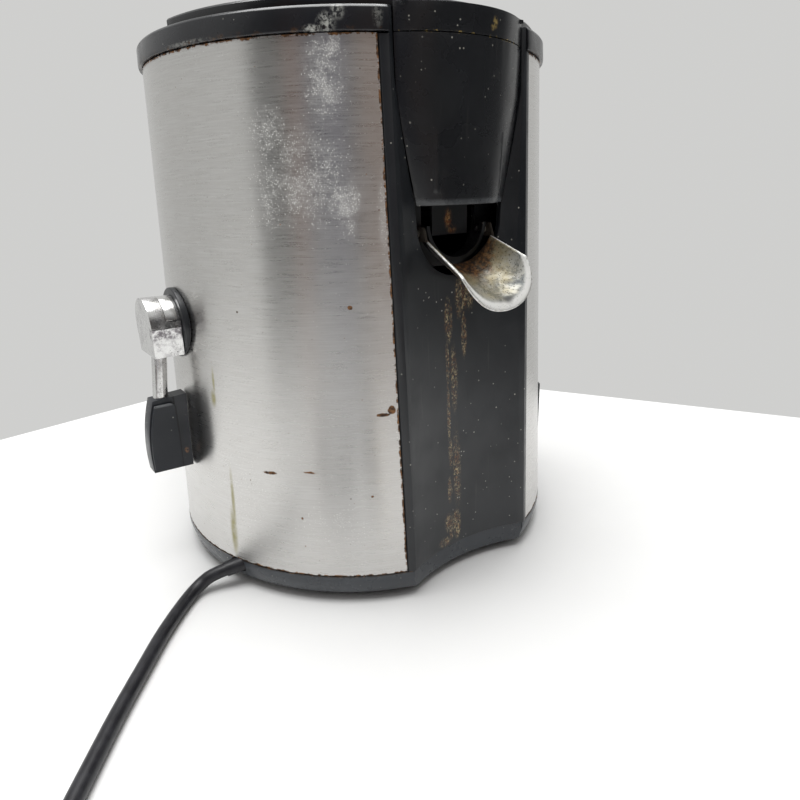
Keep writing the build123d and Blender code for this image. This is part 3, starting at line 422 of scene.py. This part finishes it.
def spout_material():
    """Stained polished steel: baked brown root, yellow film, grey mottling, dark pits and a lip
    painted near white as a highlight.
    """
    g = Graph("spout_steel", (0.78, 0.76, 0.70), Metallic=1.0)
    x, y, z = g.split()
    wobble = g.math("MULTIPLY", g.math("SUBTRACT", g.noise(160, 5, 0.75), 0.5), 0.020)
    along = g.math("ADD", g.math("SUBTRACT", y, g.math("MULTIPLY", z, 0.35)), wobble)
    root = g.ramp(along, -0.1680, -0.1570)
    film = g.ramp(along, -0.1800, -0.1640)
    lip = g.ramp(g.add("ShaderNodeAttribute", attribute_name="lip").outputs["Fac"], 0.25, 0.62)
    grain = g.noise(1500, 4, 0.8)
    blotch = g.ramp(g.noise(150, 6, 0.8, distortion=0.6), 0.44, 0.58)
    color = g.mix(g.math("MULTIPLY", blotch, 0.9), (0.46, 0.46, 0.43), (0.13, 0.145, 0.155))
    color = g.mix(g.math("MULTIPLY", film, g.ramp(g.noise(120, 4), 0.3, 0.6, 0.25, 0.85)), color,
                  (0.34, 0.29, 0.16))
    burnt = g.mix(g.ramp(g.noise(420, 4, 0.7), 0.42, 0.68), (0.030, 0.013, 0.006),
                  (0.26, 0.11, 0.030))
    color = g.mix(g.math("MULTIPLY", root, 0.95), color, burnt)
    # painted highlight: the lip is painted near white, and its pits and metal fade there too
    color = g.mix(g.math("MULTIPLY", lip, 0.9), color, (0.93, 0.93, 0.90))
    pits = g.math("MAXIMUM", g.specks(1150, 0.36, 0.32), g.specks(700, 0.26, 0.24))
    pits = g.math("MULTIPLY", pits, g.ramp(grain, 0.36, 0.50))
    color = g.mix(g.math("MULTIPLY", pits, g.ramp(lip, 0, 1, 0.95, 0.3)), color,
                  (0.035, 0.022, 0.012))
    flat = g.join(x, y, 0.0)
    dark_tip = g.blobs(flat, [(0.0078, -0.1226, 0.0042, 0.0020, 1.0)])
    color = g.mix(g.math("MULTIPLY", dark_tip, 0.75), color, (0.10, 0.10, 0.10))
    g.set(**{"Base Color": color,
             "Metallic": g.math("MULTIPLY", g.ramp(root, 0, 1, 0.55, 0.20),
                                g.ramp(lip, 0, 1, 1.0, 0.15)),
             "Specular IOR Level": 0.35,
             "Roughness": g.math("ADD", g.ramp(blotch, 0, 1, 0.42, 0.50),
                                 g.math("MULTIPLY", root, 0.25))})
    g.bump(g.math("ADD", g.noise(600, 4, 0.7), g.math("MULTIPLY", pits, -1.0)), 0.18, 0.00012)
    return g


def spout_outside_material():
    """Outer side of the spout: steel painted dark as a reflection of the black panel, with dried
    crust along its lower part.
    """
    g = Graph("spout_outside", (0.16, 0.16, 0.155), Metallic=0.8)
    z = g.split()[2]
    crust = g.math("MULTIPLY", g.ramp(z, 0.1720, 0.1640), g.ramp(g.noise(620, 4, 0.8), 0.46, 0.58))
    spots = g.math("MAXIMUM", crust, g.specks(800, 0.26, 0.12))
    # painted reflection: the base tone is kept dark all over
    cloud = g.mix(g.ramp(g.noise(200, 5, 0.7), 0.4, 0.62), (0.13, 0.13, 0.125), (0.26, 0.25, 0.23))
    g.set(**{"Base Color": g.mix(spots, cloud, (0.20, 0.12, 0.05)),
             "Roughness": g.ramp(spots, 0, 1, 0.30, 0.75)})
    g.bump(g.noise(700, 3), 0.12, 0.0001)
    return g


def bright_edge_material():
    """Sheet edge of the spout, painted pale as a highlight."""
    g = Graph("bright_edge", (0.86, 0.86, 0.84), Metallic=0.55)
    # painted highlight: patches of near-white colour along the edge
    highlight_patches = g.ramp(g.noise(420, 4), 0.35, 0.65)
    g.set(**{"Base Color": g.mix(highlight_patches, (0.55, 0.54, 0.50), (0.90, 0.90, 0.88)),
             "Roughness": g.ramp(highlight_patches, 0, 1, 0.42, 0.28)})
    g.bump(g.noise(900, 3), 0.1, 0.0001)
    return g


def outlet_material():
    """Inside of the outlet: dark plastic with an orange-brown crust on the tab."""
    g = plastic("outlet_plastic", (0.0075, 0.008, 0.009), 0.38, specks=0.015)
    x, y, z = g.split()
    flat = g.join(x, z, 0.0)
    area = g.blobs(flat, [(-0.0012, 0.1878, 0.0032, 0.0062, 1.0),
                          (0.001, 0.183, 0.004, 0.003, 0.7)])
    area = g.math("MULTIPLY", area, g.ramp(y, -0.08, -0.084))
    crust = g.math("MULTIPLY", area, g.ramp(g.noise(520, 4, 0.7), 0.38, 0.56))
    old = g.shader.inputs["Base Color"].links[0].from_socket
    hue = g.mix(g.ramp(g.noise(700, 3), 0.45, 0.62), (0.22, 0.07, 0.015), (0.45, 0.26, 0.10))
    g.set(**{"Base Color": g.mix(crust, old, hue)})
    return g


def plain_metal(name, color, roughness, metallic=1.0):
    g = Graph(name, color, Metallic=metallic)
    cloud = g.noise(90, 4)
    g.set(**{"Base Color": g.mix(g.ramp(cloud, 0.3, 0.7), color, [c * 0.75 for c in color]),
             "Roughness": g.ramp(cloud, 0.3, 0.7, roughness, roughness + 0.15)})
    g.bump(g.noise(1200, 3), 0.08, 0.0001)
    return g


def mesh_material():
    """Perforated basket steel: fine holes drawn as dark dots in rows."""
    g = Graph("basket_perforated", (0.7, 0.7, 0.68), Metallic=1.0, Roughness=0.25)
    x, y, z = g.split()
    around = g.math("MULTIPLY", g.math("ARCTAN2", x, y), 0.066)
    hole = g.cells(1.0, g.join(g.math("MULTIPLY", around, 900), g.math("MULTIPLY", z, 900), 0))
    dark = g.ramp(hole, 0.36, 0.26)
    g.set(**{"Base Color": g.mix(dark, (0.7, 0.7, 0.68), (0.02, 0.02, 0.02))})
    g.bump(dark, 0.3, 0.0003)
    return g


def rubber(name, color=(0.018, 0.018, 0.021), roughness=0.42):
    g = Graph(name, color, IOR=1.5)
    cloud = g.noise(140, 4)
    g.set(**{"Base Color": g.mix(g.ramp(cloud, 0.4, 0.75, 0.0, 0.6), color,
                                 [c * 2.2 + 0.006 for c in color]),
             "Roughness": g.ramp(cloud, 0.3, 0.7, roughness - 0.06, roughness + 0.12)})
    g.bump(g.noise(1500, 2), 0.08, 0.0001)
    return g


STEEL = steel_material()
PANEL = panel_material()
RIM = rim_material()
RING = ring_material()
CHROME = chrome_material()
OUTLET = outlet_material()
SATIN = plastic("charcoal_plastic", CHARCOAL, 0.36, specks=0.04, streaks=0.12)
COVER = cover_material()
DARK = plastic("dark_plastic", (0.013, 0.014, 0.016), 0.42, specks=0.02)
GRIP = grip_material()
ZINC = plain_metal("zinc_plated", (0.60, 0.60, 0.57), 0.30)
EAR_STEEL = plain_metal("stained_steel", (0.10, 0.085, 0.07), 0.45, metallic=0.6)
IRON = plain_metal("laminated_iron", (0.18, 0.18, 0.19), 0.5)
COPPER = plain_metal("copper_wire", (0.60, 0.24, 0.10), 0.3)
BRASS = plain_metal("brass", (0.72, 0.55, 0.25), 0.25)
BASKET_STEEL = plain_metal("basket_steel", (0.70, 0.70, 0.68), 0.2)
RUBBER = rubber("black_rubber", roughness=0.6)
CORD = rubber("cord_jacket", (0.008, 0.008, 0.011), 0.36)
WHITE = plastic("white_plastic", (0.62, 0.62, 0.59), 0.4)

for graph, names in (
        (STEEL, ["steel_wrap"]), (PANEL, ["front_panel"]), (RIM, ["rim_ring"]),
        (RING, ["base_ring"]), (COVER, ["apron", "lid"]),
        (OUTLET, ["juice_bowl", "bowl_front", "bowl_floor", "outlet_trough"]),
        (SATIN, ["feed_tube", "pusher_cap", "pulp_container", "switch_housing", "lever_bosses"]),
        (GRIP, ["left_lever_grip", "right_lever_grip"]),
        (DARK, ["bottom_cover", "inner_deck", "frame_posts", "drive_coupling", "basket_base",
                "basket_rim", "pusher", "switch_rocker", "interlock_switch"]),
        (CHROME, ["left_collar", "right_collar", "left_lever_hub", "right_lever_hub",
                  "left_lever_arm", "right_lever_arm"]),
        (ZINC, ["fasteners", "motor_bracket", "lower_bracket", "bearings", "motor_shaft",
                "spout_pins", "left_lock_shaft", "right_lock_shaft"]),
        (IRON, ["stator_core", "rotor_core"]), (COPPER, ["field_windings", "commutator"]),
        (BRASS, ["brush_holders", "plug_pins"]), (WHITE, ["cooling_fan", "terminal_block"]),
        (BASKET_STEEL, ["grater_disc"]), (mesh_material(), ["basket_mesh"]),
        (RUBBER, ["feet", "rubber_mounts", "shaft_seal", "lid_gasket"]),
        (CORD, ["cord_gland", "cord_tube", "cord_coil", "coil_tie", "plug_body"])):
    paint(names, graph)


def soften(name, width, angle=38):
    """Round a CAD node's hard edges."""
    node = NODES[name]
    weld = node.modifiers.new("weld", "WELD")
    weld.merge_threshold = 0.00001
    bevel = node.modifiers.new("bevel", "BEVEL")
    bevel.width = width
    bevel.segments = 3
    bevel.limit_method = "ANGLE"
    bevel.angle_limit = math.radians(angle)
    bevel.use_clamp_overlap = True
    bevel.harden_normals = True


for name, width in (
        ("rim_ring", 0.0005), ("base_ring", 0.0006), ("apron", 0.0006), ("lid", 0.0006),
        ("front_panel", 0.0007), ("feed_tube", 0.0006), ("pusher_cap", 0.0006),
        ("pulp_container", 0.0008), ("switch_housing", 0.0005), ("switch_rocker", 0.0005),
        ("lever_bosses", 0.0006), ("left_lever_hub", 0.0005),
        ("right_lever_hub", 0.0005), ("left_lever_grip", 0.0008), ("right_lever_grip", 0.0008),
        ("left_collar", 0.0003), ("right_collar", 0.0003)):
    soften(name, width)


# ---- mesh helpers ---------------------------------------------------------
def new_object(name, data):
    piece = bpy.data.objects.new(name, data)
    bpy.context.scene.collection.objects.link(piece)
    return piece


def grid_mesh(name, rows):
    """Quads over rows of points."""
    mesh = bpy.data.meshes.new(name)
    count = len(rows[0])
    faces = []
    for i in range(len(rows) - 1):
        for j in range(count - 1):
            a, b = i * count + j, (i + 1) * count + j
            faces.append((a, a + 1, b + 1, b))
    mesh.from_pydata([p for row in rows for p in row], [], faces)
    mesh.validate()
    for polygon in mesh.polygons:
        polygon.use_smooth = True
    return mesh


# ---- spout: half tube with a flared front lip, painted pale as a highlight ---
SPOUT_R = 0.0216
SPOUT_SLOPE = math.radians(28.0)
SPOUT_AXIS_Y, SPOUT_AXIS_Z = -0.097, 0.1890
SPOUT_ROOT_GAP, SPOUT_ROOT_SKEW = -0.0027, 0.0030
SPOUT_HALF_ANGLE = math.radians(66)
# how far the middle reaches, and how much shorter the two corners are
SPOUT_REACH, SPOUT_SWEEP, CORNER_POWER = 0.0434, 0.0134, 2.9
# the old sheet is bent: its right corner is shorter and its lip drifts to the right
SPOUT_SKEW, SPOUT_DRIFT = 0.0030, 0.10
# cosine of the rim's angle at the root, its fall per metre, and that fall's skew
RIM_COS, RIM_FALL, RIM_FALL_SKEW = 0.4457, 1.28, 2.93
LIP_LENGTH, LIP_FLARE = 0.0055, 0.0022
SHEET, BEAD_R = 0.0010, 0.00055


def make_spout():
    """Half tube: the rim falls less steeply than the axis, the lip is rounded and flared."""
    forward = Vector((0, -math.cos(SPOUT_SLOPE), -math.sin(SPOUT_SLOPE)))
    lift = Vector((0, -math.sin(SPOUT_SLOPE), math.cos(SPOUT_SLOPE)))
    start = Vector((0, SPOUT_AXIS_Y, SPOUT_AXIS_Z))
    columns, steps = 57, 30
    rows, edge_share = [], []
    for j in range(columns):
        share = -1 + 2 * j / (columns - 1)
        reach = SPOUT_REACH - (SPOUT_SWEEP + SPOUT_SKEW * share) * abs(share) ** CORNER_POWER
        lean = math.cos(share * SPOUT_HALF_ANGLE)
        drift = SPOUT_DRIFT * min(1, 1 + share)
        gap = SPOUT_ROOT_GAP + SPOUT_ROOT_SKEW * max(share, 0) ** 2
        low = (gap + SPOUT_R * math.sin(SPOUT_SLOPE) * lean) / math.cos(SPOUT_SLOPE)
        column = []
        for i in range(steps + 1):
            s = low + (reach - low) * (i / steps) ** 0.85
            # the rim starts at 64 degrees; the right side opens out towards the lip
            angle = share * math.acos(RIM_COS - (RIM_FALL + RIM_FALL_SKEW * share) * s)
            near = max(0.0, 1 - (reach - s) / LIP_LENGTH)
            edge_share.append(near)
            radius = SPOUT_R + LIP_FLARE * near ** 1.8 * (1 - 0.8 * share * share)
            column.append(start + forward * s + lift * (-radius * math.cos(angle))
                          + Vector((radius * math.sin(angle) + drift * max(s, 0), 0, 0)))
        rows.append(column)
    mesh = grid_mesh("spout_shell", rows)
    lip = mesh.attributes.new("lip", "FLOAT", "POINT")
    lip.data.foreach_set("value", edge_share)
    piece = new_object("spout_shell", mesh)
    solid = piece.modifiers.new("sheet", "SOLIDIFY")
    solid.thickness = SHEET
    solid.offset = 1.0
    bevel = piece.modifiers.new("edge", "BEVEL")
    bevel.width = 0.0004
    bevel.segments = 3
    bevel.limit_method = "ANGLE"
    bevel.angle_limit = math.radians(50)
    mesh.materials.append(spout_material().material)
    mesh.materials.append(spout_outside_material().material)
    solid.material_offset = 1
    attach(piece, "spout")
    # bead along the rim and lip, painted pale as a highlight: up one side, round the front, back
    # up the other
    border = rows[0] + [column[-1] for column in rows[1:-1]] + list(reversed(rows[-1]))
    curve = bpy.data.curves.new("spout_bead", "CURVE")
    curve.dimensions = "3D"
    line = curve.splines.new("POLY")
    line.points.add(len(border) - 1)
    for target, point in zip(line.points, border):
        target.co = (*point, 1.0)
    curve.bevel_depth = BEAD_R
    curve.bevel_resolution = 3
    curve.use_fill_caps = True
    curve.materials.append(bright_edge_material().material)
    bead = new_object("spout_bead", curve)
    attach(bead, "spout")
    return piece


SPOUT = make_spout()


EAR_Y, EAR_Z, EAR_R = -0.0915, 0.182, 0.0035
EAR_INNER_X, EAR_OUTER_X = 0.0202, 0.0214


def make_spout_ears():
    """Flat ears that hang the spout on its pins."""
    mesh = bpy.data.meshes.new("spout_ears")
    bm = bmesh.new()
    outline = [(-0.0985, 0.1785), (-0.0962, 0.1850)]
    for k in range(9):
        turn = math.radians(90 - 22.5 * k)
        outline.append((EAR_Y + EAR_R * math.cos(turn), EAR_Z + EAR_R * math.sin(turn)))
    for side in (-1, 1):
        near = [bm.verts.new((side * EAR_INNER_X, y, z)) for y, z in outline]
        far = [bm.verts.new((side * EAR_OUTER_X, y, z)) for y, z in outline]
        bm.faces.new(near)
        bm.faces.new(list(reversed(far)))
        for a in range(len(outline)):
            b = (a + 1) % len(outline)
            bm.faces.new((near[b], near[a], far[a], far[b]))
    bmesh.ops.recalc_face_normals(bm, faces=bm.faces)
    bmesh.ops.bevel(bm, geom=bm.edges[:], offset=0.0004, segments=2, affect="EDGES")
    bm.to_mesh(mesh)
    bm.free()
    piece = new_object("spout_ears", mesh)
    mesh.materials.append(EAR_STEEL.material)
    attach(piece, "spout")


make_spout_ears()
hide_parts("spout")


# ---- mains cord -----------------------------------------------------------
CORD_D, CORD_LENGTH = 0.007, 1.12
HEADING = Vector((-0.944, 0.27, -0.19))
CORD_EXIT = Vector((-0.1074, -0.0400, 0.0119))
GLAND_END = CORD_EXIT + HEADING * 0.007
COIL_X, COIL_Y = -0.2106, -0.2146
LANE_OUT, LANE_IN = 0.0455, 0.0385
LAYER_LOW, LAYER_HIGH = 0.0035, 0.0105
COIL_START = math.radians(144.7)
COIL_TURNS = 3.348
PLUG_X, PLUG_Y, PLUG_Z = -0.131, -0.262, 0.0165
BOOT_END_X = PLUG_X - 0.052

route = [
    GLAND_END,
    GLAND_END + HEADING * 0.008,
    Vector((-0.1276, -0.0350, 0.0054)),
    Vector((-0.1345, -0.0384, 0.0035)),
    Vector((-0.1440, -0.0480, 0.0035)),
    Vector((-0.1565, -0.0622, 0.0035)),
    Vector((-0.1695, -0.0796, 0.0035)),
    Vector((-0.1825, -0.0966, 0.0035)),
    Vector((-0.1970, -0.1175, 0.0035)),
    Vector((-0.2130, -0.1410, 0.0035)),
    Vector((-0.2305, -0.1640, 0.0035)),
]


def coil_lane(turn):
    """(radius, height) of the coil's centre line after so many turns."""
    def ease(a, b):
        t = min(1.0, max(0.0, (turn - a) / (b - a)))
        return t * t * (3 - 2 * t)
    radius = LANE_OUT - (LANE_OUT - LANE_IN) * ease(0.8, 1.0)
    radius += (LANE_OUT - LANE_IN) * ease(2.4, 2.6)
    height = LAYER_LOW + (LAYER_HIGH - LAYER_LOW) * ease(1.58, 1.8)
    return radius, height


steps_per_turn = 16
count = int(COIL_TURNS * steps_per_turn)
inside = 1 / math.cos(math.pi / steps_per_turn) ** 0.75
for i in range(count + 1):
    turn = COIL_TURNS * i / count
    radius, height = coil_lane(turn)
    angle = COIL_START + 2 * math.pi * turn
    route.append(Vector((COIL_X + radius * inside * math.cos(angle),
                         COIL_Y + radius * inside * math.sin(angle), height)))
route += [
    Vector((BOOT_END_X - 0.018, COIL_Y - LANE_OUT - 0.0008, LAYER_HIGH + 0.0004)),
    Vector((BOOT_END_X - 0.009, PLUG_Y, PLUG_Z - 0.0006)),
    Vector((BOOT_END_X + 0.001, PLUG_Y, PLUG_Z)),
]


def nurbs_tube(name, points, radius, material):
    """Round tube along a smooth curve that passes near its points."""
    curve = bpy.data.curves.new(name, "CURVE")
    curve.dimensions = "3D"
    spline = curve.splines.new("NURBS")
    spline.points.add(len(points) - 1)
    for target, point in zip(spline.points, points):
        target.co = (*point, 1.0)
    spline.order_u = 3
    spline.use_endpoint_u = True
    spline.resolution_u = 8
    curve.bevel_depth = radius
    curve.bevel_resolution = 6
    curve.use_fill_caps = True
    curve.materials.append(material)
    return new_object(name, curve)


cord_piece = nurbs_tube("mains_cord", route, CORD_D / 2, CORD.material)
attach(cord_piece, "base")
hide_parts("cord_tube", "cord_coil")

# ---- studio ---------------------------------------------------------------
def flat_sheet(name, corners, color):
    """Flat stage sheet at table height."""
    mesh = bpy.data.meshes.new(name)
    mesh.from_pydata([(x, y, 0.0) for x, y in corners], [], [tuple(range(len(corners)))])
    piece = new_object(name, mesh)
    g = Graph(name, color, Roughness=0.6)
    cloud = g.noise(7, 4)
    g.set(**{"Base Color": g.mix(g.ramp(cloud, 0.35, 0.7), color, [c * 0.97 for c in color])})
    mesh.materials.append(g.material)
    return piece


flat_sheet("table_top", [(-0.70, -0.62), (0.66, -0.62), (0.119, 0.3546), (-0.70, 0.1961)],
           (0.86, 0.86, 0.855))


WALL_TONE = (0.625, 0.625, 0.615)


def studio_world():
    """Even pale surroundings behind and beside the object, a darker room in front."""
    world = bpy.data.worlds.new("studio")
    bpy.context.scene.world = world
    world.use_nodes = True
    tree = world.node_tree

    def node(kind, *inputs, **props):
        item = tree.nodes.new(kind)
        for key, value in props.items():
            setattr(item, key, value)
        for socket, value in zip(item.inputs, inputs):
            if isinstance(value, bpy.types.NodeSocket):
                tree.links.new(value, socket)
            else:
                socket.default_value = value
        return item.outputs

    x, y, z = node("ShaderNodeSeparateXYZ", node("ShaderNodeTexCoord")["Generated"])
    turn = node("ShaderNodeMath", node("ShaderNodeMath", x, -1.0, operation="MULTIPLY")[0],
                node("ShaderNodeMath", y, -1.0, operation="MULTIPLY")[0], operation="ARCTAN2")[0]
    share = node("ShaderNodeMath", turn, 1 / (2 * math.pi), 0.5, operation="MULTIPLY_ADD")[0]
    bands = tree.nodes.new("ShaderNodeValToRGB")
    ramp = bands.color_ramp
    ramp.interpolation = "LINEAR"
    # tones by direction: degrees round from the spout's side towards -X
    stops = [(-180, WALL_TONE), (-84, WALL_TONE), (-74, (0.12, 0.12, 0.12)),
             (-20, (0.05, 0.05, 0.052)), (8, (0.06, 0.057, 0.054)), (14, (0.26, 0.19, 0.16)),
             (23, (0.22, 0.165, 0.14)), (29, (0.10, 0.097, 0.105)), (35, (0.11, 0.108, 0.14)),
             (53, (0.09, 0.088, 0.105)), (57, (0.17, 0.105, 0.085)), (62, (0.18, 0.11, 0.09)),
             (66, (0.09, 0.09, 0.088)), (80, (0.13, 0.13, 0.128)), (87, WALL_TONE),
             (180, WALL_TONE)]
    while len(ramp.elements) < len(stops):
        ramp.elements.new(0.5)
    for element, (degrees, color) in zip(ramp.elements, stops):
        element.position = degrees / 360 + 0.5
        element.color = (*color, 1)
    tree.links.new(share, bands.inputs[0])
    # the room's ceiling is pale whichever way it lies
    up = tree.nodes.new("ShaderNodeMapRange")
    up.inputs["From Min"].default_value = 0.45
    up.inputs["From Max"].default_value = 0.75
    tree.links.new(z, up.inputs["Value"])
    blend = tree.nodes.new("ShaderNodeMix")
    blend.data_type = "RGBA"
    tree.links.new(up.outputs[0], blend.inputs[0])
    tree.links.new(bands.outputs[0], blend.inputs[6])
    blend.inputs[7].default_value = (*WALL_TONE, 1)
    tree.links.new(blend.outputs[2], tree.nodes["Background"].inputs[0])


studio_world()


def area_light(name, location, target, size, power):
    light = bpy.data.lights.new(name, "AREA")
    light.shape = "DISK"
    light.size = size
    light.energy = power
    holder = bpy.data.objects.new(name, light)
    holder.location = location
    aim = Vector(target) - Vector(location)
    holder.rotation_euler = aim.to_track_quat("-Z", "Y").to_euler()
    bpy.context.scene.collection.objects.link(holder)


area_light("ceiling", (-0.1, 0.1, 1.9), (0, 0, 0), 1.7, 42)
bpy.context.scene.view_settings.view_transform = "Standard"
